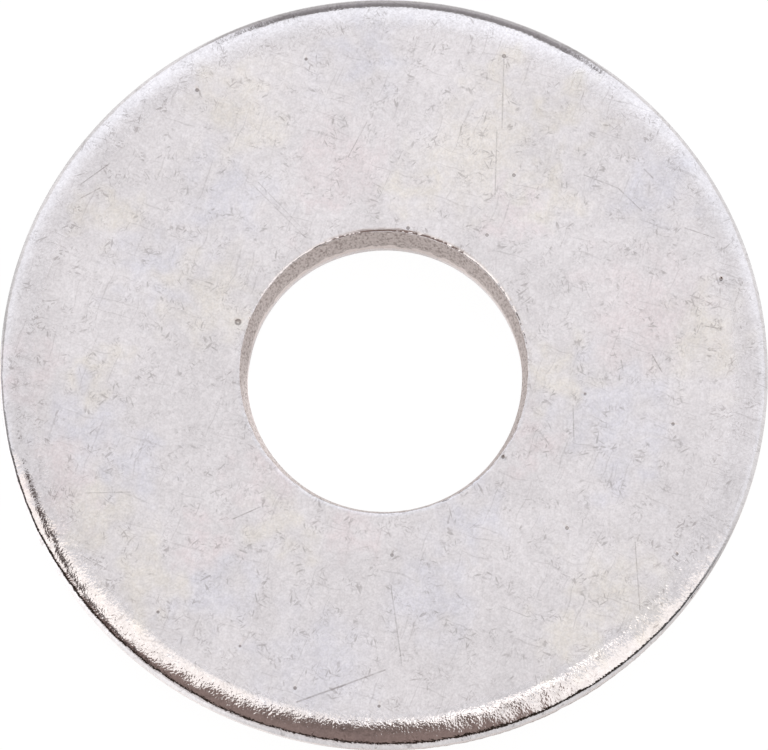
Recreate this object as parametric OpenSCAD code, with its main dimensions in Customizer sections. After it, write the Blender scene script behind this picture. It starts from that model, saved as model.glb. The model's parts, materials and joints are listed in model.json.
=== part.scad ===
// Fender washer: a wide flat ring sheared from zinc-plated steel strip.
// It lies flat, with the face that the blanking die rolled down at the rim upwards.
// Millimetres. The origin is the middle of the face that it rests on.

/* [Washer] */
// Outside diameter, over the burnished land of the rim
outer_d = 24; // [18:0.5:40]
// Thickness between the two flat faces
thickness = 2; // [1.5:0.1:4]
// Bore diameter, over the burnished land that a bolt passes
bore_d = 8.6; // [5:0.1:12]

/* [Rim, sheared from the top face down] */
// How far the die roll reaches in from the rim along the top face
rim_roll_w = 1; // [0.5:0.05:1.6]
// How far the die roll draws the top face down at the rim
rim_roll_h = 0.45; // [0.2:0.05:0.7]
// Height of the burnished land below the die roll
rim_land_h = 0.25; // [0.1:0.05:0.6]
// How far the torn zone leans in, from the land down to the bottom face
rim_tear_w = 0.3; // [0.1:0.05:0.4]
// Radius that tumbling leaves where the torn zone meets the bottom face
rim_edge_r = 0.06; // [0.02:0.01:0.1]

/* [Bore, pierced from the bottom face up] */
// How far the punch's roll reaches out from the bore along the bottom face
bore_roll_w = 0.34; // [0.1:0.02:0.5]
// How far the punch's roll draws the bottom face up into the bore
bore_roll_h = 0.26; // [0.1:0.02:0.4]
// Height of the burnished land above the punch's roll
bore_land_h = 0.9; // [0.3:0.05:0.95]
// How far the torn zone opens out, from the land up to the top face
bore_tear_w = 0.2; // [0.1:0.05:0.3]
// Radius that tumbling leaves where the torn zone meets the top face
bore_edge_r = 0.05; // [0.02:0.01:0.1]

/* [Hidden] */
$fn = 180;
rim_r = outer_d / 2;
bore_r = bore_d / 2;
// Overshoot that carries each cut clear of the strip
clear = 1;

// Corner that the tool draws down before it bites, where the faces meet at the
// origin with the metal to the left and below
module rolled_corner(w, h) {
    difference() {
        translate([-w, -h]) square([w + clear, h + clear]);
        translate([-w, -h]) scale([w, h]) circle(1);
    }
}

// Wedge that is lost where the metal tears through below the land, with the foot
// of the torn wall at the origin and its top at [w, h]
module torn_wedge(w, h) {
    polygon([[w, h], [0, 0], [0, -clear], [w + clear, -clear], [w + clear, h]]);
}

// Sliver that tumbling takes off the foot of the torn wall, between the bottom
// face and a wall that leans out to [w, h]
module tumbled_edge(w, h, r) {
    slant = norm([w, h]);
    middle = [-r * (slant - w) / h, r];
    touch = middle + r / slant * [h, -w];
    difference() {
        polygon([middle, [middle.x, -clear], [clear, -clear], [clear, touch.y], touch]);
        translate(middle) circle(r);
    }
}

// All that shearing takes off one edge of the strip. The sheared wall stands at
// x = 0 with the metal to its left. From the top: roll, burnished land, torn zone.
module sheared_edge(roll_w, roll_h, land_h, tear_w, edge_r) {
    tear_h = thickness - roll_h - land_h;
    translate([0, thickness]) rolled_corner(roll_w, roll_h);
    translate([-tear_w, 0]) {
        torn_wedge(tear_w, tear_h);
        tumbled_edge(tear_w, tear_h, edge_r);
    }
}

// Half section of the ring. The bore is the rim's section turned over, because
// the punch and the blanking die meet the strip from opposite faces.
module washer_section() {
    difference() {
        translate([bore_r, 0]) square([rim_r - bore_r, thickness]);
        translate([rim_r, 0])
            sheared_edge(rim_roll_w, rim_roll_h, rim_land_h, rim_tear_w, rim_edge_r);
        translate([bore_r, thickness]) rotate(180)
            sheared_edge(bore_roll_w, bore_roll_h, bore_land_h, bore_tear_w, bore_edge_r);
    }
}

// The washer itself, one piece of steel
module washer() {
    color([0.84, 0.84, 0.86]) rotate_extrude() washer_section();
}

washer();
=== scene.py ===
# A fender washer of zinc-plated steel, lying flat on a pale table.
# Its bore and rim were sheared from opposite faces, and it was tumbled and then plated.
import json
from math import cos, pi, radians, sin

import bpy
from mathutils import Matrix, Vector


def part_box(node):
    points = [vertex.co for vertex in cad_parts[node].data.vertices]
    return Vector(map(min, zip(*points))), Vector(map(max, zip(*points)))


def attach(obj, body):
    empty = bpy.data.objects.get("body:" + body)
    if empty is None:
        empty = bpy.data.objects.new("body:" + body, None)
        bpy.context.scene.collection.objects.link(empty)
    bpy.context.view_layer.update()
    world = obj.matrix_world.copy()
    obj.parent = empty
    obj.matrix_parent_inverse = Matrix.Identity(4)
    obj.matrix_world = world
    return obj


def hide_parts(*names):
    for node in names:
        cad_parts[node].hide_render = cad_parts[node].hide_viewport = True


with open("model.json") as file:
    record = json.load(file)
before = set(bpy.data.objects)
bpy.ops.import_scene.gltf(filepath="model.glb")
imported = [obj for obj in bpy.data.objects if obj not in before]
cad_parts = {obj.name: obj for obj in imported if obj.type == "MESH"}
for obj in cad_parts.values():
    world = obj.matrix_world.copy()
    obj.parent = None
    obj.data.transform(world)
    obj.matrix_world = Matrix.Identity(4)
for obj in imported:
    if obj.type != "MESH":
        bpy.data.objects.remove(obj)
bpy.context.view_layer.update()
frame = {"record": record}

# The camera, which comes first because marks on the washer are placed by the photograph.
# A long lens a little in front of the washer looks down on its upper face.
MM = 0.001
PICTURE_W = 768
PICTURE_H = 750
SENSOR_W = 36
CAMERA_TILT = radians(12.95)
CAMERA_SIDE = radians(-82.7)
CAMERA_DISTANCE = 400 * MM
PIXELS_PER_RADIAN = 12822
AIM_X = 0.03 * MM
AIM_Y = -0.2 * MM

washer_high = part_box("washer")[1]
thickness = washer_high.z
aim = Vector((AIM_X, AIM_Y, thickness))
towards_camera = Vector((
    sin(CAMERA_TILT) * cos(CAMERA_SIDE), sin(CAMERA_TILT) * sin(CAMERA_SIDE), cos(CAMERA_TILT)))
eye = aim + CAMERA_DISTANCE * towards_camera
picture_right = Vector((0, 1, 0)).cross(towards_camera).normalized()
picture_up = towards_camera.cross(picture_right)

bpy.ops.object.select_all(action="DESELECT")
bpy.ops.object.camera_add()
camera = bpy.context.object
camera.name = "camera"
camera.matrix_world = Matrix.Translation(eye) @ Matrix((
    picture_right, picture_up, towards_camera)).transposed().to_4x4()
camera.data.sensor_width = SENSOR_W
camera.data.lens = PIXELS_PER_RADIAN * SENSOR_W / PICTURE_W
camera.data.clip_start = 10 * MM
bpy.context.scene.camera = camera


def on_face(pixel_x, pixel_y):
    """The point of the upper face that the photograph shows at a pixel."""
    across = (pixel_x - PICTURE_W / 2) / PIXELS_PER_RADIAN
    up = (PICTURE_H / 2 - pixel_y) / PIXELS_PER_RADIAN
    ray = across * picture_right + up * picture_up - towards_camera
    return eye + ray * ((thickness - eye.z) / ray.z)


# The washer: a flat ring of low-carbon steel strip. A punch came up through the bore and
# a die came down round the rim, so each edge has a drawn-down roll, a burnished land and
# a torn zone, in opposite order.
BORE_R = frame["record"]["mounts"][0]["dims"]["r_mm"] * MM
RIM_R = washer_high.x
RIM_ROLL_W = 1.0 * MM
RIM_ROLL_H = 0.45 * MM
RIM_LAND_H = 0.25 * MM
RIM_TEAR_W = 0.3 * MM
BORE_ROLL_W = 0.34 * MM
BORE_ROLL_H = 0.26 * MM
BORE_LAND_H = 0.9 * MM
BORE_TEAR_W = 0.2 * MM
TUMBLED = 0.05 * MM
FACETS = 960
SAME_POINT = TUMBLED / 50
# The punch pierced a touch off the blank's centre, which is made up for halfway to the rim
OFF_CENTRE = Vector((0.02, -0.09, 0)) * MM
OFF_CENTRE_REACH = 0.5
# The rim's tear leans in less at the front right, and the blank is a touch out of round
FOOT_SHIFT = Vector((0.12, -0.06, 0)) * MM
OUT_OF_ROUND = 0.003

bore_mouth_r = BORE_R + BORE_TEAR_W
bore_corner_r = bore_mouth_r + TUMBLED
bore_land_top = BORE_ROLL_H + BORE_LAND_H
rim_foot_r = RIM_R - RIM_TEAR_W
rim_roll_start = RIM_R - RIM_ROLL_W
rim_land_top = thickness - RIM_ROLL_H
rim_land_bottom = rim_land_top - RIM_LAND_H

bpy.ops.object.select_all(action="DESELECT")
bpy.ops.mesh.primitive_circle_add(
    vertices=FACETS, radius=bore_corner_r, fill_type="NOTHING",
    location=OFF_CENTRE + Vector((0, 0, thickness)))
washer = bpy.context.object
washer.name = "washer_ring"
bpy.ops.object.transform_apply(location=True)
bpy.ops.object.mode_set(mode="EDIT")
bpy.ops.mesh.select_all(action="SELECT")
ring_r, ring_z = bore_corner_r, thickness


def ring_centre(radius, height):
    """The middle of a ring: off centre at the bore, true further out, shifted at the rim's foot."""
    out = (radius - bore_corner_r) / (OFF_CENTRE_REACH * (RIM_R - bore_mouth_r))
    out = min(max(out, 0), 1)
    torn = min(max(1 - height / rim_land_bottom, 0), 1)
    return OFF_CENTRE * (1 - out) + FOOT_SHIFT * out * torn + Vector((0, 0, height))


def draw_ring(radius, height):
    """Draws the open edge of the ring on to a new radius and height."""
    global ring_r, ring_z
    centre = ring_centre(radius, height)
    bpy.ops.mesh.extrude_edges_move(
        TRANSFORM_OT_translate={"value": centre - ring_centre(ring_r, ring_z)})
    if radius != ring_r:
        bpy.ops.transform.resize(
            value=(radius / ring_r, radius / ring_r, 1), center_override=centre)
    ring_r, ring_z = radius, height


def draw_straight(radius, height, steps):
    """Draws the edge on in equal steps, as a flat face or a plain wall."""
    start_r, start_z = ring_r, ring_z
    for step in range(1, steps + 1):
        share = step / steps
        draw_ring(start_r + share * (radius - start_r), start_z + share * (height - start_z))


def draw_rolled(radius, height, steps, face_first):
    """Draws the edge on round a quarter ellipse, off a face or off a wall."""
    start_r, start_z = ring_r, ring_z
    for step in range(1, steps + 1):
        turn = step / steps * pi / 2
        along_r, along_z = (sin(turn), 1 - cos(turn)) if face_first else (1 - cos(turn), sin(turn))
        draw_ring(start_r + along_r * (radius - start_r), start_z + along_z * (height - start_z))


# Upper face, with closer rings beside its two edges so that it stays flat to the eye
draw_straight(bore_mouth_r + 3 * TUMBLED, thickness, steps=2)
draw_straight(rim_roll_start - 2 * TUMBLED, thickness, steps=17)
draw_straight(rim_roll_start, thickness, steps=2)
# Die roll, land and torn zone of the rim
draw_rolled(RIM_R, rim_land_top, steps=24, face_first=True)
draw_straight(RIM_R, rim_land_bottom, steps=3)
draw_straight(rim_foot_r + TUMBLED * RIM_TEAR_W / rim_land_bottom, TUMBLED, steps=10)
draw_rolled(rim_foot_r - TUMBLED, 0, steps=2, face_first=False)
# Lower face, punch's roll, land and torn zone of the bore
draw_straight(rim_foot_r - 2 * TUMBLED, 0, steps=1)
draw_straight(BORE_R + BORE_ROLL_W + TUMBLED, 0, steps=3)
draw_straight(BORE_R + BORE_ROLL_W, 0, steps=1)
draw_rolled(BORE_R, BORE_ROLL_H, steps=6, face_first=True)
draw_straight(BORE_R, bore_land_top, steps=3)
draw_straight(
    bore_mouth_r - TUMBLED * BORE_TEAR_W / (thickness - bore_land_top), thickness - TUMBLED, steps=13)
draw_rolled(bore_corner_r, thickness, steps=3, face_first=False)
bpy.ops.mesh.select_all(action="SELECT")
bpy.ops.mesh.remove_doubles(threshold=SAME_POINT)
bpy.ops.mesh.normals_make_consistent(inside=False)
# It is widest from the back left to the front right
bpy.ops.transform.rotate(value=pi / 4, orient_axis="Z", center_override=(0, 0, 0))
bpy.ops.transform.resize(
    value=(1 - OUT_OF_ROUND, 1 + OUT_OF_ROUND, 1), center_override=(0, 0, 0))
bpy.ops.transform.rotate(value=-pi / 4, orient_axis="Z", center_override=(0, 0, 0))
bpy.ops.object.mode_set(mode="OBJECT")
bpy.ops.object.shade_smooth()

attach(washer, "root")
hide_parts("washer")

# Torn edges and roll: the steel breaks away in grains, so the bore's mouth is jagged, and
# the die drags the roll down unevenly. Noise in millimetres moves the skin inwards.
TEAR_DEEPENS = 0.15 * MM
CHIPPED_H = 3 * TUMBLED
ROLL_CALM_W = 0.1 * MM
ROLL_DEEPENS = 0.4 * MM
# The drag on the roll at its sides, and how much more of it there is at the front
DRAG = 0.6
DRAG_FORWARD = 0.4


def in_torn_bore(place):
    """Whether a place is on the bore's torn zone or the corner above it."""
    from_middle = (place.xy - OFF_CENTRE.xy).length
    return from_middle < bore_mouth_r + 1.2 * TUMBLED and place.z > bore_land_top


def in_torn_rim(place):
    """Whether a place is on the rim's torn zone or the corner below it."""
    foot_r = rim_foot_r - 1.5 * TUMBLED - FOOT_SHIFT.x
    return place.xy.length > foot_r and place.z < rim_land_bottom


def weigh_points(name, weight_of):
    """Makes a vertex group whose weights come from each point's place."""
    group = washer.vertex_groups.new(name=name)
    for point in washer.data.vertices:
        weight = weight_of(point.co)
        if weight > 0:
            group.add([point.index], min(weight, 1), "REPLACE")


def roughen(name, zone, grain, depth, detail, stretch=1.0, middle=1.0):
    """Moves a zone's points inwards by noise of a grain size, stretched along the height."""
    bpy.ops.object.select_all(action="DESELECT")
    bpy.ops.object.empty_add()
    ruler = bpy.context.object
    ruler.scale = (MM * grain, MM * grain, MM * grain * stretch)
    grains = bpy.data.textures.new(name, "CLOUDS")
    grains.noise_scale = 1.0
    grains.noise_depth = detail
    bpy.context.view_layer.objects.active = washer
    displace = washer.modifiers.new(name, "DISPLACE")
    displace.texture = grains
    displace.texture_coords = "OBJECT"
    displace.texture_coords_object = ruler
    displace.vertex_group = zone
    displace.mid_level = middle
    displace.strength = depth
    bpy.ops.object.modifier_apply(modifier=name)
    bpy.data.objects.remove(ruler)


weigh_points("torn_bore", lambda place: in_torn_bore(place) * min(
    place.z - bore_land_top, thickness - place.z) / TEAR_DEEPENS)
weigh_points("torn_mouth", lambda place: in_torn_bore(place) * (
    1 - (thickness - place.z) / CHIPPED_H))
weigh_points("torn_rim", lambda place: in_torn_rim(place) * (
    rim_land_bottom - place.z) / TEAR_DEEPENS)
weigh_points("rolled_rim", lambda place: (place.z > rim_land_top) * (
    place.xy.length - rim_roll_start - ROLL_CALM_W) / ROLL_DEEPENS * (
        DRAG - DRAG_FORWARD * place.y / RIM_R))
roughen("torn_grains", "torn_bore", grain=0.16, depth=0.03 * MM, detail=1, stretch=0.6, middle=0.5)
roughen("mouth_chips", "torn_mouth", grain=0.28, depth=0.05 * MM, detail=2, stretch=2)
roughen("rim_grains", "torn_rim", grain=0.22, depth=0.06 * MM, detail=2, stretch=0.7)
roughen("roll_waves", "rolled_rim", grain=0.6, depth=0.025 * MM, detail=1)
roughen("roll_drag", "rolled_rim", grain=0.22, depth=0.006 * MM, detail=1)

# Pits: specks of scale that tumbling knocked out of the faces, each a small round pocket.
# Each is a pixel of the photograph with a size, and is pressed in a few steps.
PITS = [
    (197, 90, 1.0), (306, 59, 0.8), (238, 322, 1.6), (504, 56, 1.0), (721, 279, 1.0),
    (514, 175, 0.9), (408, 228, 0.9), (487, 235, 0.8), (295, 688, 0.9), (379, 706, 0.8),
    (158, 612, 0.8), (240, 646, 0.7), (503, 457, 0.9), (392, 555, 0.8), (567, 528, 0.9),
    (677, 554, 0.8), (673, 424, 0.8), (585, 394, 0.7)]
PIT_R = 0.07 * MM
PIT_DEPTH = 0.035 * MM
PIT_SURROUND = 3.5
# The part of a pit's radius that each step presses, and its part of the depth
PIT_STEPS = [(1.0, 0.3), (0.72, 0.4), (0.4, 0.3)]
FACES_UP = 0.5
pits = [(on_face(x, y), size * PIT_R) for x, y, size in PITS]


def select_only(parts, chosen):
    """Selects the chosen points or faces of the washer in edit mode, and nothing else."""
    kind = "VERT" if parts is washer.data.vertices else "FACE"
    bpy.ops.object.mode_set(mode="EDIT")
    bpy.ops.mesh.select_mode(type=kind)
    bpy.ops.mesh.select_all(action="DESELECT")
    bpy.ops.object.mode_set(mode="OBJECT")
    for index in chosen:
        parts[index].select = True
    bpy.ops.object.mode_set(mode="EDIT")


def near_pit(place, normal, share):
    """Whether a place on the upper face is within a share of a pit's radius."""
    return place.z > rim_land_top and normal.z > FACES_UP and any(
        (place.xy - middle.xy).length < share * radius for middle, radius in pits)


select_only(washer.data.polygons, [
    face.index for face in washer.data.polygons
    if near_pit(face.center, face.normal, PIT_SURROUND)])
bpy.ops.mesh.subdivide(number_cuts=3)
bpy.ops.object.mode_set(mode="OBJECT")
for share, depth in PIT_STEPS:
    select_only(washer.data.vertices, [
        point.index for point in washer.data.vertices
        if near_pit(point.co, point.normal, share)])
    bpy.ops.transform.translate(value=(0, 0, -depth * PIT_DEPTH))
    bpy.ops.object.mode_set(mode="OBJECT")

# Zinc plating over the upper face and the roll: bright, but dulled by tumbling into a
# mesh of hair-fine strokes, with cream and lavender tints where its clear film is thick.
# Its colour also holds painted highlights beside some marks, and painted shade towards the front,
# beside the roll and in the pits
FILM_GREY = (0.824, 0.801, 0.812, 1)
FILM_BLUE = (0.800, 0.793, 0.842, 1)
FILM_CREAM = (0.848, 0.814, 0.771, 1)
FILM_ROSE = (0.856, 0.788, 0.798, 1)
BARE_ZINC_AND_HIGHLIGHT = (0.95, 0.94, 0.95, 1)
# Soot in the marks, and also the colour of the painted shade beside the roll and in the pits
SOOT_AND_SHADE = (0.20, 0.17, 0.16, 1)
# Tinted patches of the film by pixels of the photograph, with a radius in millimetres
BLUE_PATCHES = [
    (365, 60, 1.5), (228, 200, 1.6), (150, 268, 1.6), (80, 425, 1.5), (135, 465, 1.3),
    (210, 590, 1.7), (318, 668, 2.4), (430, 598, 1.8), (472, 518, 1.3), (612, 408, 2.0),
    (625, 470, 1.3), (655, 190, 1.6)]
CREAM_PATCHES = [
    (240, 105, 1.8), (480, 150, 2.4), (415, 185, 1.2), (548, 190, 1.2), (565, 108, 1.2),
    (108, 205, 1.1), (212, 300, 1.8), (95, 370, 1.0), (100, 512, 1.6), (150, 578, 1.4),
    (550, 375, 1.4), (705, 340, 1.8), (620, 590, 1.7), (568, 640, 1.3), (285, 525, 1.3),
    (500, 80, 1.2)]
ROSE_PATCHES = [
    (345, 160, 1.8), (320, 205, 1.0), (515, 215, 1.1), (205, 545, 1.0), (350, 530, 1.1),
    (640, 310, 2.2), (535, 440, 1.0), (60, 480, 1.6), (18, 372, 1.2), (268, 470, 1.3)]
ROSE_SHARE = 0.8
PATCH_REACH = 1.15
PATCH_WARP = (3.0, 3.0, 0)
# Scuffed patches, where hairs crowd together, with how crowded they are
SCUFFS = [
    (128, 122, 1.6, 1.0), (30, 330, 1.6, 0.8), (55, 300, 1.2, 0.7), (725, 330, 1.8, 0.9),
    (725, 420, 1.6, 0.7), (690, 520, 2.2, 0.8), (640, 600, 1.8, 0.7), (90, 560, 1.6, 0.5),
    (210, 640, 1.6, 0.5), (560, 120, 1.4, 0.4)]
SCUFFED_FOOT = 0.8
SCUFFED_ALL_OVER = 0.4
PATCHY = (0.46, 0.66)
# In millimetres out from the foot of the roll: where its polish begins, where its dragged
# part does, how ragged both edges are, and the scuffed band just inside, which painted shade darkens
POLISH_START = (-0.12, 0.1)
DRAG_START = (0.1, 0.45)
RAGGED = (-0.06, 0.06)
SCUFF_AND_SHADE_INSET = 0.2
SCUFF_AND_SHADE_W = 0.9
# How far to the front the drag sets in, and how far to the left the scuffed and shaded band does
DRAG_FRONT = (0, 9)
SCUFF_AND_SHADE_LEFT = (5.0, 9.0)
# Directions in which the zinc's wear and its painted shade change over the whole face
TO_FRONT = (0.1, -0.995, 0)
TO_BACK = (0.1, 0.995, 0)
TO_LEFT = (-0.999, 0.05, 0)
# Each scratch runs between two pixels of the photograph, with a width in millimetres and
# how dark it is
SCRATCHES = [
    (504, 57, 502, 128, 0.035, 0.5), (497, 130, 495, 196, 0.035, 0.5),
    (297, 702, 347, 684, 0.045, 0.9), (347, 684, 385, 670, 0.04, 0.7),
    (233, 519, 260, 507, 0.03, 0.8), (391, 586, 402, 666, 0.03, 0.6),
    (635, 542, 640, 610, 0.03, 0.6), (81, 184, 109, 164, 0.03, 0.8),
    (81, 198, 100, 188, 0.03, 0.7), (367, 122, 348, 157, 0.03, 0.6),
    (252, 184, 306, 238, 0.03, 0.4), (258, 182, 300, 226, 0.025, 0.4),
    (584, 175, 618, 188, 0.03, 0.6), (618, 188, 642, 211, 0.03, 0.6),
    (644, 169, 653, 178, 0.035, 0.8), (685, 228, 715, 238, 0.03, 0.6),
    (85, 493, 130, 492, 0.025, 0.5), (705, 326, 722, 329, 0.03, 0.8),
    (708, 350, 716, 351, 0.03, 0.7), (621, 360, 623, 370, 0.035, 0.7),
    (652, 355, 662, 372, 0.03, 0.7), (573, 405, 574, 440, 0.03, 0.6),
    (503, 607, 528, 617, 0.025, 0.5)]
# How far the nicks show away from the scuffs and among them
NICKS_SHOW = (0.10, 0.85)
# The crumbs break the scratches up
SCRATCH_BROKEN = (0.35, 0.6, 0.5, 1.0)
# Kinds of tumbling stroke: angles in degrees, grains across and along to the millimetre,
# and the level of the noise at which a stroke begins
NICKS = ((10, 52, 75, 118, 160), (10.0, 2.4, 0), 0.77)
CRUMBLED = ((28, 95, 140), (16.0, 6.0, 0), 0.70)
FIBRES = ((15, 70, 130), (13.0, 3.6, 0), 0.58)
PALE_FIBRES = ((0, 50, 110), (12.0, 3.2, 0), 0.60)
HAIRLINES = ((20, 108), (13.0, 0.45, 0), 0.79)
STROKE_SOFT = 0.09
# Each angle reads the noise from a place of its own, in millimetres
STROKES_FROM = (7, 11.0)
STROKES_APART = 30.0
STROKE_BEND = (0.25, 0.25, 0)
# Painted highlights beside the crumbled marks are the same marks, read from a place shifted this far
LIP_HIGHLIGHT_SHIFT = (0.035, 0.05, 0)
# How much of the bare zinc shows pale and how bright the painted highlights on the lips are, how much
# soot sticks in each mark, and how dark the painted shade is beside the roll and in the pits
PALE_IN_FIBRES = 0.2
HIGHLIGHT_ON_LIPS = 0.45
SOOT_IN_FIBRES = 0.07
SOOT_IN_HAIRLINES = 0.16
SOOT_IN_NICKS = 0.5
SHADE_AT_FOOT = 0.06
SOOT_IN_SCRATCHES = 0.75
SHADE_IN_PITS = 0.85
# The ring of painted shade inside a pit, in shares of the pit's radius
PIT_RING_START = 0.35
PIT_RING_END = 0.95
PIT_RING_SOFT = 0.25
PIT_RING_PALER = 0.12
# How far each noise lightens or darkens the zinc, and the painted shade that slowly darkens it
# towards the front, where less light falls
FINE_SHADE = (0.945, 1.05)
CRUMB_SHADE = (-0.032, 0.026)
CLOUD_SHADE = (0.03, -0.03)
HAZE_SHADE = (0.025, -0.025)
PAINTED_SHADE_TO_FRONT = (-0.03, 0.03)
# Roughness, and relief in millimetres on the face and on the dragged front of the roll
SATIN = (0.32, 0.36)
POLISHED = 0.09
FINE_RELIEF = (0.002, 0.0045)
CREASE_RELIEF = (0.005, 0.012)
# Most values of a noise lie in this span
NOISE = (0.3, 0.7)


def add_node(tree, kind, inputs=None, **settings):
    """A shader node with its settings made and its inputs set or linked."""
    made = tree.nodes.new(kind)
    for name, value in settings.items():
        setattr(made, name, value)
    for key, value in (inputs or {}).items():
        if isinstance(value, bpy.types.NodeSocket):
            tree.links.new(value, made.inputs[key])
        else:
            made.inputs[key].default_value = value
    return made


def calc(tree, operation, *values):
    """The result of one sum on numbers."""
    return add_node(tree, "ShaderNodeMath", dict(enumerate(values)), operation=operation).outputs[0]


def in_turn(tree, operation, values):
    """One kind of sum, worked through several numbers in turn."""
    result = values[0]
    for value in values[1:]:
        result = calc(tree, operation, result, value)
    return result


def plus(tree, *values):
    """The total of several numbers."""
    return in_turn(tree, "ADD", values)


def minus(tree, value, less):
    """One number less another."""
    return calc(tree, "SUBTRACT", value, less)


def times(tree, *values):
    """The product of several numbers."""
    return in_turn(tree, "MULTIPLY", values)


def largest(tree, *values):
    """The largest of several numbers."""
    return in_turn(tree, "MAXIMUM", values)


def slope(tree, value, rise, start):
    """A number times a rise, on top of where it starts."""
    return calc(tree, "MULTIPLY_ADD", value, rise, start)


def move(tree, operation, *values):
    """The result of one sum on points or directions."""
    made = add_node(tree, "ShaderNodeVectorMath", dict(enumerate(values)), operation=operation)
    return made.outputs["Value" if operation in ("LENGTH", "DISTANCE", "DOT_PRODUCT") else "Vector"]


def scaled(tree, vector, factor):
    """A point or direction times a number."""
    return add_node(tree, "ShaderNodeVectorMath", {
        0: vector, "Scale": factor}, operation="SCALE").outputs["Vector"]


def fade(tree, value, start, end, low=0.0, high=1.0):
    """A smooth change from low to high as a value goes from start to end."""
    return add_node(tree, "ShaderNodeMapRange", {
        "Value": value, "From Min": start, "From Max": end, "To Min": low, "To Max": high
    }, interpolation_type="SMOOTHSTEP").outputs["Result"]


def between(tree, value, low, high, soft):
    """A soft-edged window on a value."""
    return times(
        tree, fade(tree, value, minus(tree, low, soft), plus(tree, low, soft)),
        fade(tree, value, plus(tree, high, soft), minus(tree, high, soft)))


def grain(tree, vector, scale, detail=0.0, output="Fac", across="2D"):
    """Noise over a piece, with a number of grains to the millimetre."""
    return add_node(tree, "ShaderNodeTexNoise", {
        "Vector": vector, "Scale": scale, "Detail": detail}, noise_dimensions=across).outputs[output]


def blend(tree, share, first, second, how="MIX"):
    """Two colours mixed by a share."""
    made = add_node(tree, "ShaderNodeMix", data_type="RGBA", blend_type=how)
    sockets = made.inputs[0], made.inputs[6], made.inputs[7]
    for socket, value in zip(sockets, (share, first, second)):
        if isinstance(value, bpy.types.NodeSocket):
            tree.links.new(value, socket)
        else:
            socket.default_value = value
    return made.outputs[2]


def start_group(name, inputs, outputs):
    """An empty shader node group with its sockets, and its own input and output nodes."""
    group = bpy.data.node_groups.new(name, "ShaderNodeTree")
    for label, kind in inputs.items():
        group.interface.new_socket(label, in_out="INPUT", socket_type="NodeSocket" + kind)
    for label, kind in outputs.items():
        group.interface.new_socket(label, in_out="OUTPUT", socket_type="NodeSocket" + kind)
    return group, group.nodes.new("NodeGroupInput").outputs, group.nodes.new("NodeGroupOutput").inputs


def place_group(tree, group, inputs):
    """The outputs of a node group placed in a material with its own values."""
    return add_node(tree, "ShaderNodeGroup", inputs, node_tree=group).outputs


def place_in_mm(tree):
    """The place on a piece in millimetres."""
    return scaled(tree, add_node(tree, "ShaderNodeTexCoord").outputs["Object"], 1 / MM)


def start_metal(name):
    """A metal of the washer with its shader set up, and the place in millimetres."""
    metal = bpy.data.materials.new(name)
    metal.use_nodes = True
    tree = metal.node_tree
    shader = tree.nodes["Principled BSDF"]
    shader.inputs["Metallic"].default_value = 1.0
    washer.data.materials.append(metal)
    return tree, shader, place_in_mm(tree)


def spots(tree, place, patches, strength=1.0):
    """Soft round patches, the strongest of them at each place."""
    found = []
    for x, y, radius, *share in patches:
        apart = move(tree, "DISTANCE", place, on_face(x, y) / MM)
        found.append(fade(tree, apart, radius * PATCH_REACH, 0.0, 0, share[0] if share else strength))
    return largest(tree, *found)


def strokes(tree, place, angles, grain_size, edge):
    """Tumbling strokes at several angles, each angle with its own part of the noise."""
    return largest(tree, *(place_group(tree, strokes_group, {
        "Place": move(
            tree, "ADD", place, (STROKES_APART * count + STROKES_FROM[0], STROKES_FROM[1], 0)),
        "Angle": radians(angle), "Grain": grain_size, "Edge": edge
    })["Strokes"] for count, angle in enumerate(angles)))


def add_bump(tree, shader, height):
    """Relief from a height in millimetres."""
    relief = add_node(tree, "ShaderNodeBump", {"Height": height, "Distance": MM})
    tree.links.new(relief.outputs["Normal"], shader.inputs["Normal"])


# Tumbling strokes: short straight hairlines that all lie at one angle
strokes_group, given, result = start_group(
    "tumbling_strokes", {"Place": "Vector", "Angle": "Float", "Grain": "Vector", "Edge": "Float"},
    {"Strokes": "Float"})
turned = add_node(strokes_group, "ShaderNodeVectorRotate", {
    "Vector": given["Place"], "Angle": given["Angle"]}, rotation_type="Z_AXIS").outputs["Vector"]
drawn_out = grain(strokes_group, move(strokes_group, "MULTIPLY", turned, given["Grain"]), 1.0)
strokes_group.links.new(
    fade(strokes_group, drawn_out, given["Edge"], plus(strokes_group, given["Edge"], STROKE_SOFT)),
    result["Strokes"])

# Long scratch: a hairline from one point to another, which thins out at both ends
scratch_group, given, result = start_group(
    "long_scratch", {"Place": "Vector", "Start": "Vector", "End": "Vector", "Width": "Float"},
    {"Scratch": "Float"})
along = move(scratch_group, "SUBTRACT", given["End"], given["Start"])
apart = move(scratch_group, "SUBTRACT", given["Place"], given["Start"])
share = add_node(scratch_group, "ShaderNodeClamp", {"Value": calc(
    scratch_group, "DIVIDE", move(scratch_group, "DOT_PRODUCT", apart, along),
    move(scratch_group, "DOT_PRODUCT", along, along))}).outputs["Result"]
nearest = scaled(scratch_group, along, share)
scratch_group.links.new(
    fade(scratch_group, move(scratch_group, "DISTANCE", apart, nearest), given["Width"], 0.0),
    result["Scratch"])

tree, shader, place = start_metal("zinc_plating")
flat_place = move(tree, "MULTIPLY", place, (1, 1, 0))
warp = grain(tree, place, 1.1, detail=1.0, output="Color")
warped = move(tree, "ADD", place, move(
    tree, "MULTIPLY", move(tree, "SUBTRACT", warp, (0.5, 0.5, 0.5)), PATCH_WARP))
bent = move(tree, "ADD", place, move(tree, "MULTIPLY", warp, STROKE_BEND))
haze = grain(tree, place, 0.25, detail=1.0)
cloud = grain(tree, place, 0.9, detail=3.0)
patchy = grain(tree, place, 1.7, detail=2.0)
crumb = grain(tree, place, 5.0, detail=2.0)
fine = grain(tree, place, 14.0, detail=1.0)

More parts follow.
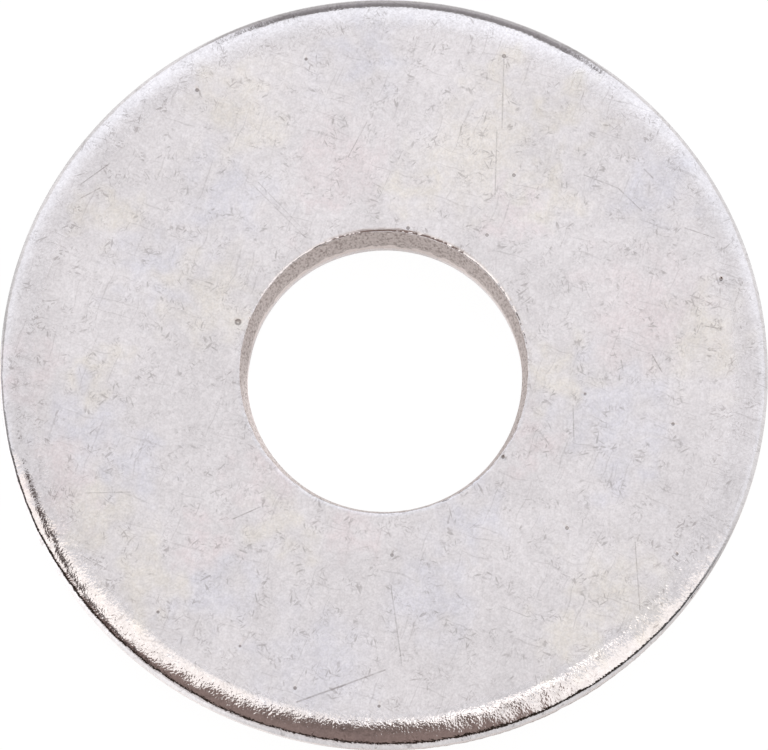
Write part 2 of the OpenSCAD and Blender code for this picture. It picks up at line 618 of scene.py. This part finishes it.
# The roll, its dragged front and the corner of the bore are polished
past_foot = plus(
    tree, move(tree, "LENGTH", flat_place), fade(tree, crumb, *NOISE, *RAGGED),
    -rim_roll_start / MM)
rolled = fade(tree, past_foot, *POLISH_START)
frontward = move(tree, "DOT_PRODUCT", place, TO_FRONT)
dragged = times(tree, fade(tree, past_foot, *DRAG_START), fade(tree, frontward, *DRAG_FRONT))
from_mouth = move(tree, "DISTANCE", flat_place, OFF_CENTRE / MM)
corner = fade(tree, from_mouth, (bore_corner_r + 0.5 * TUMBLED) / MM, bore_corner_r / MM)
# The face is scuffed beside the roll, on the side away from the light, and painted shade darkens it
# there
beside_roll = fade(
    tree, calc(tree, "ABSOLUTE", plus(tree, past_foot, SCUFF_AND_SHADE_INSET)), SCUFF_AND_SHADE_W, 0.0)
leftward = move(tree, "DOT_PRODUCT", place, TO_LEFT)
scuffed_and_shaded_foot = times(tree, beside_roll, fade(tree, leftward, *SCUFF_AND_SHADE_LEFT))

crowd = times(tree, fade(tree, patchy, *PATCHY), largest(
    tree, times(tree, scuffed_and_shaded_foot, SCUFFED_FOOT), spots(tree, warped, SCUFFS), SCUFFED_ALL_OVER))
nicks = times(tree, fade(tree, crowd, 0, 0.5, *NICKS_SHOW), strokes(tree, bent, *NICKS))
crumbled = times(tree, crowd, strokes(tree, bent, *CRUMBLED))
# Painted highlights: pale lips beside the crumbled marks, where their relief would catch the light
lip_highlights = times(tree, crowd, strokes(tree, move(tree, "ADD", bent, LIP_HIGHLIGHT_SHIFT), *CRUMBLED))
fibres = strokes(tree, bent, *FIBRES)
pale_fibres = strokes(tree, bent, *PALE_FIBRES)
hairlines = strokes(tree, bent, *HAIRLINES)
scratches = times(tree, fade(tree, crumb, *SCRATCH_BROKEN), largest(tree, *(
    times(tree, darkness, place_group(tree, scratch_group, {
        "Place": place, "Start": on_face(x1, y1) / MM, "End": on_face(x2, y2) / MM,
        "Width": width})["Scratch"])
    for x1, y1, x2, y2, width, darkness in SCRATCHES)))
# Painted shade: a dark ring inside each pit, where its walls fall into shade
pit_shade_rings = minus(tree, largest(tree, *(
    between(tree, move(tree, "DISTANCE", place, middle / MM), PIT_RING_START * radius / MM,
            PIT_RING_END * radius / MM, soft=PIT_RING_SOFT * radius / MM)
    for middle, radius in pits)), PIT_RING_PALER)

film = blend(tree, spots(tree, warped, BLUE_PATCHES), FILM_GREY, FILM_BLUE)
film = blend(tree, spots(tree, warped, CREAM_PATCHES), film, FILM_CREAM)
film = blend(tree, spots(tree, warped, ROSE_PATCHES, ROSE_SHARE), film, FILM_ROSE)
# Pale bare zinc in the pale fibres, and painted highlights on the lips
film = blend(tree, largest(
    tree, times(tree, pale_fibres, PALE_IN_FIBRES), times(tree, lip_highlights, HIGHLIGHT_ON_LIPS)), film, BARE_ZINC_AND_HIGHLIGHT)
# Soot darkens the marks, and painted shade darkens the band beside the roll and the pits
for dark_mark, dark_share in (
        (fibres, SOOT_IN_FIBRES), (hairlines, SOOT_IN_HAIRLINES),
        (largest(tree, nicks, crumbled), SOOT_IN_NICKS), (scuffed_and_shaded_foot, SHADE_AT_FOOT),
        (scratches, SOOT_IN_SCRATCHES), (pit_shade_rings, SHADE_IN_PITS)):
    film = blend(tree, times(tree, dark_mark, dark_share), film, SOOT_AND_SHADE)
# Noise in the zinc's own tone, with painted shade darker towards the front
shade = plus(
    tree, fade(tree, fine, 0.2, 0.8, *FINE_SHADE), fade(tree, crumb, *NOISE, *CRUMB_SHADE),
    fade(tree, cloud, *NOISE, *CLOUD_SHADE), fade(tree, haze, *NOISE, *HAZE_SHADE),
    fade(tree, move(tree, "DOT_PRODUCT", place, TO_BACK), -12, 12, *PAINTED_SHADE_TO_FRONT))
tree.links.new(blend(tree, 1.0, film, shade, "MULTIPLY"), shader.inputs["Base Color"])
satin = fade(tree, cloud, *NOISE, *SATIN)
tree.links.new(
    fade(tree, largest(tree, rolled, corner), 0, 1, satin, POLISHED), shader.inputs["Roughness"])
creases = calc(tree, "ABSOLUTE", minus(tree, crumb, 0.5))
add_bump(tree, shader, plus(
    tree, times(tree, fine, fade(tree, dragged, 0, 1, *FINE_RELIEF)),
    times(tree, creases, fade(tree, dragged, 0, 1, *CREASE_RELIEF))))

# Burnished lands: metal smeared smooth by the tool's flank, with fine lines down the cut.
# The zinc on it is bright.
LAND_STEEL = (0.82, 0.74, 0.715, 1)
LAND_SHEEN = (0.78, 0.73, 0.73, 1)
LAND_LINES = (9, 9, 0.8)
LAND_SHEEN_SPAN = (0.35, 0.65)
LAND_ROUGHNESS = (0.2, 0.32)
LAND_RELIEF = 0.006
tree, shader, place = start_metal("burnished_land")
drawn = grain(tree, move(tree, "MULTIPLY", place, LAND_LINES), 1.0, detail=3.0, across="3D")
tree.links.new(
    blend(tree, fade(tree, drawn, *LAND_SHEEN_SPAN), LAND_STEEL, LAND_SHEEN),
    shader.inputs["Base Color"])
tree.links.new(fade(tree, drawn, *NOISE, *LAND_ROUGHNESS), shader.inputs["Roughness"])
add_bump(tree, shader, times(tree, drawn, LAND_RELIEF))

# Torn zones: a grey, crumbly break that the thin zinc only just covers. Each land runs
# out unevenly into its tear.
TORN_BORE = (0.61, 0.545, 0.525, 1)
TORN_RIM = (0.76, 0.69, 0.66, 1)
TORN_DEEP_SHADE = (0.2, 0.15, 0.13, 1)
TORN_PROUD_HIGHLIGHT = (0.9, 0.86, 0.84, 1)
# Where the crumbs are deep, with painted shade in them, and the grit proud, with painted
# highlights on it, and how much each of them shows
DEEP_CRUMBS_SHADE = (0.56, 0.34, 0, 0.6)
PROUD_GRIT_HIGHLIGHT = (0.5, 0.75, 0, 0.5)
UNEVEN_GRAINS = (2.5, 2.5, 1)
CRUMBS_GRAINS = (13, 13, 7)
GRIT_GRAINS = (18, 18, 9)
TORN_ROUGHNESS = (0.42, 0.62)
CRUMBS_RELIEF = 0.025
GRIT_RELIEF = 0.008
# How far the bore's tear bites into its land, how uneven both tears' edges are, and where
# each edge lies from the end of its land, in millimetres and with its unevenness in it
BITE_H = 0.5 * MM
UNEVEN = 0.9
BORE_EDGE = (0.25, 0.12)
RIM_EDGE = (-0.55, -0.42)
# Radii in millimetres between which the bore's tear turns into the rim's
BORE_TO_RIM = (6, 10)
tree, shader, place = start_metal("torn_steel")
height = add_node(tree, "ShaderNodeSeparateXYZ", {0: place}).outputs["Z"]
uneven = grain(tree, move(tree, "MULTIPLY", place, UNEVEN_GRAINS), 1.0, detail=2.0, across="3D")
crumbs = grain(tree, move(tree, "MULTIPLY", place, CRUMBS_GRAINS), 1.0, detail=3.0, across="3D")
grit = grain(tree, move(tree, "MULTIPLY", place, GRIT_GRAINS), 1.0, detail=1.0, across="3D")
at_rim = fade(tree, move(tree, "LENGTH", move(tree, "MULTIPLY", place, (1, 1, 0))), *BORE_TO_RIM)
up_bore = fade(
    tree, minus(tree, slope(tree, uneven, UNEVEN, height), bore_land_top / MM), *BORE_EDGE,
    0, minus(tree, 1.0, at_rim))
down_rim = fade(
    tree, minus(tree, slope(tree, uneven, -UNEVEN, height), rim_land_bottom / MM), *RIM_EDGE,
    0, at_rim)
torn = blend(tree, at_rim, TORN_BORE, TORN_RIM)
# Painted shade in the deep crumbs and painted highlights on the proud grit
torn = blend(tree, fade(tree, crumbs, *DEEP_CRUMBS_SHADE), torn, TORN_DEEP_SHADE)
torn = blend(tree, fade(tree, grit, *PROUD_GRIT_HIGHLIGHT), torn, TORN_PROUD_HIGHLIGHT)
torn = blend(tree, plus(tree, up_bore, down_rim), torn, LAND_STEEL)
tree.links.new(torn, shader.inputs["Base Color"])
tree.links.new(fade(tree, grit, *NOISE, *TORN_ROUGHNESS), shader.inputs["Roughness"])
add_bump(tree, shader, plus(
    tree, times(tree, crumbs, CRUMBS_RELIEF), times(tree, grit, GRIT_RELIEF)))

# Faces this upright, or more so, belong to a wall
WALL_NORMAL = 0.1
land_slot = washer.data.materials.find("burnished_land")
torn_slot = washer.data.materials.find("torn_steel")
for face in washer.data.polygons:
    lifted = face.center + Vector((0, 0, BITE_H))
    below_corner = face.center.z < thickness - TUMBLED
    if in_torn_rim(face.center) or (below_corner and in_torn_bore(lifted)):
        face.material_index = torn_slot
    elif abs(face.normal.z) < WALL_NORMAL:
        face.material_index = land_slot

# The light tent's skirt: its cloth stops short of the table, and the gap below it is dark.
# Its hem is highest near the middle of the front and comes down towards both sides.
# All of it is in degrees round from the front and degrees down from upright.
HEM_MIDDLE = -24
HEM_REACH = 60
HEM_HEIGHT = 64.5
HEM_CURVE_LEFT = 27.0
HEM_CURVE_RIGHT = 22.5
GAP_ABOVE = 8.5
GAP_BELOW = 2.5
GAP_WIDENS = 8.0
GAP_SOFT = 4.0
SWEEP_SOFT = 7.0
FRONT_LEFT = (-116, -80)
FRONT_RIGHT = (72, 54)
LEFT_TO_RIGHT = (-34, -14)
skirt_group, given, result = start_group(
    "tent_skirt", {"Side": "Float", "Lean": "Float"}, {"Gap": "Float", "Sweep": "Float"})
tree = skirt_group
off_middle = calc(tree, "DIVIDE", minus(tree, given["Side"], HEM_MIDDLE), HEM_REACH)
curve = times(tree, off_middle, off_middle)
on_right = fade(tree, given["Side"], *LEFT_TO_RIGHT)
below_hem = minus(tree, given["Lean"], slope(
    tree, curve, fade(tree, on_right, 0, 1, HEM_CURVE_LEFT, HEM_CURVE_RIGHT), HEM_HEIGHT))
gap_start = slope(tree, curve, -GAP_WIDENS, -GAP_ABOVE)
gap_end = slope(tree, curve, GAP_WIDENS, GAP_BELOW)
front = times(
    tree, fade(tree, given["Side"], *FRONT_LEFT), fade(tree, given["Side"], *FRONT_RIGHT))
swept = times(tree, front, fade(tree, below_hem, gap_end, plus(tree, gap_end, SWEEP_SOFT)))
gap = times(tree, front, fade(tree, below_hem, gap_start, plus(tree, gap_start, GAP_SOFT)))
tree.links.new(times(tree, gap, minus(tree, 1.0, swept)), result["Gap"])
tree.links.new(swept, result["Sweep"])

# The table: a plain pale board, so large that its edge is out of every view. It is seen
# almost white, as in an overexposed studio shot. To the washer it glows unevenly, with a painted
# pool of light at the left and under the bore, and painted shadow at the back and below the tent's
# skirt.
TABLE_SIZE = 3.0
BOARD = (0.86, 0.86, 0.86, 1)
BOARD_ROUGHNESS = 0.9
WHITE = (1, 1, 1, 1)
BLACK = (0, 0, 0, 1)
GLOW_SEEN = 1.06
GLOW_MIRRORED = 1.06
GLOW_LEFT = (2.3, 1.65)
GLOW_IN_BORE = (1.12, 1.4)
GLOW_BACK = 0.3
GLOW_SHARE = 0.45
# How high over the table the roll mirrors it from in millimetres, and how dark the painted shadow of
# the gap is
MIRRORED_FROM = 1.6
GAP_SHADOW_ON_TABLE = 0.92
BACK_MIDDLE = 183.0
LEAST_DISTANCE = 0.01
# Where each glow lies: sides in degrees round from the front or the back, and distances
# from the rim, the middle or the line from front to back in millimetres
LEFT_START = -97
LEFT_END = (0.5, 0.9, -9, -25)
LEFT_SOFT = 7
LEFT_SIDES = (-70, -40)
BACK_DISTANCES = (1.2, 3.5)
BACK_SIDES = (34, 26)
BORE_RADII = (4.7, 4.2)
BORE_SIDES = (8, 42)
BORE_ACROSS = (-2, 2)
bpy.ops.object.select_all(action="DESELECT")
bpy.ops.mesh.primitive_plane_add(size=TABLE_SIZE)
table = bpy.context.object
table.name = "table"
board = bpy.data.materials.new("pale_board")
board.use_nodes = True
tree = board.node_tree
shader = tree.nodes["Principled BSDF"]
shader.inputs["Roughness"].default_value = BOARD_ROUGHNESS
place = place_in_mm(tree)
spot = add_node(tree, "ShaderNodeSeparateXYZ", {0: place}).outputs
seen = add_node(tree, "ShaderNodeLightPath").outputs["Is Camera Ray"]
from_middle = move(tree, "LENGTH", place)
distance = largest(tree, minus(tree, from_middle, RIM_R / MM), LEAST_DISTANCE)


def round_from_front(tree, way):
    """Degrees round from the front, with the right positive."""
    return calc(tree, "DEGREES", calc(tree, "ARCTAN2", way["X"], times(tree, way["Y"], -1.0)))


def round_from_back(tree, side):
    """Degrees round from the middle of the back, to either side."""
    return calc(tree, "PINGPONG", plus(tree, side, BACK_MIDDLE), 180.0)


# In the washer's mirror the board glows brightest at the left, with painted shadow at the back,
# and the dark gap below the tent's skirt runs on over it as a painted shadow
side = round_from_front(tree, spot)
from_back = round_from_back(tree, side)
skirt = place_group(tree, skirt_group, {
    "Side": side,
    "Lean": plus(tree, 90.0, calc(
        tree, "DEGREES", calc(tree, "ARCTAN2", MIRRORED_FROM, distance)))})
gap_painted_shadow = times(tree, skirt["Gap"], GAP_SHADOW_ON_TABLE, minus(tree, 1.0, seen))
at_left = between(tree, side, LEFT_START, fade(tree, distance, *LEFT_END), LEFT_SOFT)
left_glow = fade(
    tree, at_left, 0, 1, GLOW_MIRRORED, fade(tree, side, *LEFT_SIDES, *GLOW_LEFT))
at_back = times(
    tree, fade(tree, distance, *BACK_DISTANCES), fade(tree, from_back, *BACK_SIDES))
back_painted_shadow = fade(tree, at_back, 0, 1, 1.0, GLOW_BACK)
in_bore = times(
    tree, fade(tree, from_middle, *BORE_RADII), fade(tree, from_back, *BORE_SIDES))
bore_glow = fade(tree, in_bore, 0, 1, 1.0, fade(tree, spot["X"], *BORE_ACROSS, *GLOW_IN_BORE))
mirrored = times(tree, left_glow, back_painted_shadow, bore_glow)
glow = add_node(tree, "ShaderNodeEmission", {
    "Color": blend(tree, gap_painted_shadow, WHITE, BLACK),
    "Strength": slope(tree, seen, minus(tree, GLOW_SEEN, mirrored), mirrored)})
# The gap's painted shadow also darkens the board's colour, for all but camera rays
tree.links.new(blend(tree, gap_painted_shadow, BOARD, BLACK), shader.inputs["Base Color"])
mixed = add_node(tree, "ShaderNodeMixShader", {
    0: slope(tree, seen, GLOW_SHARE, GLOW_SHARE), 1: shader.outputs["BSDF"],
    2: glow.outputs["Emission"]})
tree.links.new(mixed.outputs[0], tree.nodes["Material Output"].inputs["Surface"])
table.data.materials.append(board)

# Soft studio light: a white tent stands over the table. The dim room shows through a slot
# in its front, where the camera looks in, and its skirt stops short of the table.
TENT = (0.87, 0.855, 0.87, 1)
TENT_BACK = (1.07, 1.08, 1.13, 1)
PANEL = (1.31, 1.24, 1.19, 1)
PANEL_TOP = (1.75, 1.66, 1.60, 1)
RIGHT_PANEL_SHARE = 0.8
SEAM_SHARE = 0.7
ROOM_TOP = (0.20, 0.15, 0.135, 1)
ROOM = (0.29, 0.215, 0.195, 1)
FOLD = (0.10, 0.075, 0.07, 1)
SWEEP = (0.84, 0.80, 0.80, 1)
GAP = (0.03, 0.02, 0.015, 1)
SHELF = (0.26, 0.245, 0.25, 1)
SHELF_FOOT = (0.5, 0.48, 0.5, 1)
# Where the parts of the tent stand: sides in degrees round from the front, with the right
# positive, and heights in degrees down from upright
HORIZON = (92, 88)
GLOW_STARTS = (0.44, 8.0)
GLOW_DEPTH = (0, 35)
GLOW_ROUND = (35, 80, 1.0, 0.55)
LEFT_PANEL_START = (14, 20, -97, -88)
LEFT_PANEL_END = -40
LEFT_PANEL_HEIGHTS = (5, 90)
RIGHT_PANEL_NARROWS = (3, 17, 92, 54)
RIGHT_PANEL_WIDENS = (22, 40, 0, 14)
# These two edges run straight across the tent's top, by how far they lie to the right
RIGHT_PANEL_EDGE = (-0.005, 0.03)
PANEL_TOP_EDGE = (0.19, 0.12)
PANEL_TOP_HEIGHTS = (13, 9)
SEAM_SIDES = (-145, -40)
SEAM_HEIGHTS = (4, 11)
SLOT_TOP = 8.3
SLOT_SLANT = 0.08
SLOT_FOOT = 200
SLOT_SIDES = (-37.0, 21.0)
SLOT_SPREAD = (-0.6, 0.15)
SLOT_SPREADS_FROM = 10.0
FOLD_SIDES = (-93, -50)
FOLD_HEIGHTS = (77.5, 89)
FOLD_SLANT = -0.5
ROOM_HEIGHTS = (14, 38)
SHELF_END = (26, 18)
SHELF_TOP = (59, 63)
SHELF_SHADED = (66, 100)
world = bpy.data.worlds.new("light_tent")
bpy.context.scene.world = world
world.use_nodes = True
tree = world.node_tree
upward = add_node(tree, "ShaderNodeTexCoord").outputs["Generated"]
way = add_node(tree, "ShaderNodeSeparateXYZ", {0: upward}).outputs
side = round_from_front(tree, way)
from_back = round_from_back(tree, side)
# Degrees down from upright
lean = calc(tree, "DEGREES", calc(tree, "ARCCOSINE", way["Z"]))

# The tent grows brighter towards its foot, from higher up at the back than at the sides
glow_start = slope(tree, from_back, *GLOW_STARTS)
sky = blend(tree, times(
    tree, fade(tree, minus(tree, lean, glow_start), *GLOW_DEPTH),
    fade(tree, from_back, *GLOW_ROUND)), TENT, TENT_BACK)
# Bright panels stand beside the slot, and a seam joins them to the left wall
left_panel = times(
    tree, between(tree, side, fade(tree, lean, *LEFT_PANEL_START), LEFT_PANEL_END, soft=4),
    between(tree, lean, *LEFT_PANEL_HEIGHTS, soft=2))
right_panel_end = plus(
    tree, fade(tree, lean, *RIGHT_PANEL_NARROWS), fade(tree, lean, *RIGHT_PANEL_WIDENS))
right_panel = times(
    tree, fade(tree, way["X"], *RIGHT_PANEL_EDGE), fade(tree, lean, *HORIZON),
    between(tree, side, 0, right_panel_end, soft=5))
seam = times(
    tree, between(tree, side, *SEAM_SIDES, soft=8), between(tree, lean, *SEAM_HEIGHTS, soft=2))
sky = blend(tree, largest(
    tree, left_panel, times(tree, right_panel, RIGHT_PANEL_SHARE),
    times(tree, seam, SEAM_SHARE)), sky, PANEL)
sky = blend(tree, times(
    tree, right_panel, fade(tree, lean, *PANEL_TOP_HEIGHTS),
    fade(tree, way["X"], *PANEL_TOP_EDGE)), sky, PANEL_TOP)
# The slot widens towards its foot, most of all to the left, and a fold beside it hides the
# panel
past_top = minus(tree, lean, SLOT_SPREADS_FROM)
slot_left, slot_right = (
    slope(tree, past_top, spread, edge) for spread, edge in zip(SLOT_SPREAD, SLOT_SIDES))
slot = times(
    tree, between(tree, lean, slope(tree, side, SLOT_SLANT, SLOT_TOP), SLOT_FOOT, soft=1.5),
    between(tree, side, slot_left, slot_right, soft=4))
fold = times(
    tree, between(tree, side, *FOLD_SIDES, soft=3),
    between(tree, slope(tree, side, FOLD_SLANT, lean), *FOLD_HEIGHTS, soft=2))
sky = blend(tree, slot, sky, blend(tree, fade(tree, lean, *ROOM_HEIGHTS), ROOM_TOP, ROOM))
sky = blend(tree, fold, sky, FOLD)
# The tent's skirt ends above a dark gap round the front, and the white sweep shows below it
skirt = place_group(tree, skirt_group, {"Side": side, "Lean": lean})
sky = blend(tree, skirt["Sweep"], sky, SWEEP)
sky = blend(tree, skirt["Gap"], sky, GAP)
# A grey shelf stands at the back of the table
shelf = times(tree, fade(tree, from_back, *SHELF_END), fade(tree, lean, *SHELF_TOP))
sky = blend(tree, shelf, sky, blend(tree, fade(tree, lean, *SHELF_SHADED), SHELF, SHELF_FOOT))
tree.links.new(sky, tree.nodes["Background"].inputs["Color"])

bpy.context.scene.view_settings.view_transform = "Standard"
